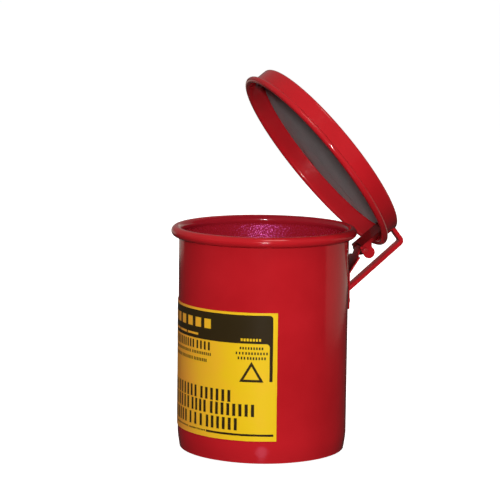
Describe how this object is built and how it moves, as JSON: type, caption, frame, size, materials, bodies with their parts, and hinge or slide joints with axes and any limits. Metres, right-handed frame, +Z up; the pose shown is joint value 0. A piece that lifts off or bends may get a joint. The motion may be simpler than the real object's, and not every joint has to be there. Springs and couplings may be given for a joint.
{
  "type": "bench safety can",
  "caption": "Small round steel can for oily wipes or solvent waste, with a hinged lid, a damping liner inside the lid and a finger lever at the back.",
  "frame": {"origin": "centre of the can's flat bottom, on the surface it stands on", "axes": "+Z up the can, +Y towards the hinge at the back, +X along the hinge pin; the label faces -Y and the lid is stored open"},
  "size_m": [0.1502, 0.1682, 0.2662],
  "materials": {
    "can_red": "gloss powder coat",
    "bottom_red": "gloss powder coat",
    "bracket_red": "gloss powder coat",
    "rivet_red": "gloss powder coat",
    "label_yellow": "printed film",
    "pin_red": "gloss powder coat",
    "lid_bracket_red": "gloss powder coat",
    "lever_red": "gloss powder coat",
    "liner_grey": "matt closed-cell sheet",
    "lid_rivet_red": "gloss powder coat",
    "lid_red": "gloss powder coat"
  },
  "bodies": {
    "can": {"can_body": "can_red", "can_bottom": "bottom_red", "can_bracket": "bracket_red", "can_rivet_left": "rivet_red", "can_rivet_right": "rivet_red", "front_label": "label_yellow"},
    "lid": {"lid_shell": "lid_red", "lid_liner": "liner_grey", "lid_bracket": "lid_bracket_red", "lid_lever": "lever_red", "hinge_pin": "pin_red", "lid_rivet_front": "lid_rivet_red", "lid_rivet_back": "lid_rivet_red"}
  },
  "joints": [
    {"name": "lid_hinge", "type": "hinge", "parent": "can", "child": "lid", "pos_m": [0, 0.0723, 0.139], "axis": [1, 0, 0], "range_deg": [0, 53.2]}
  ]
}
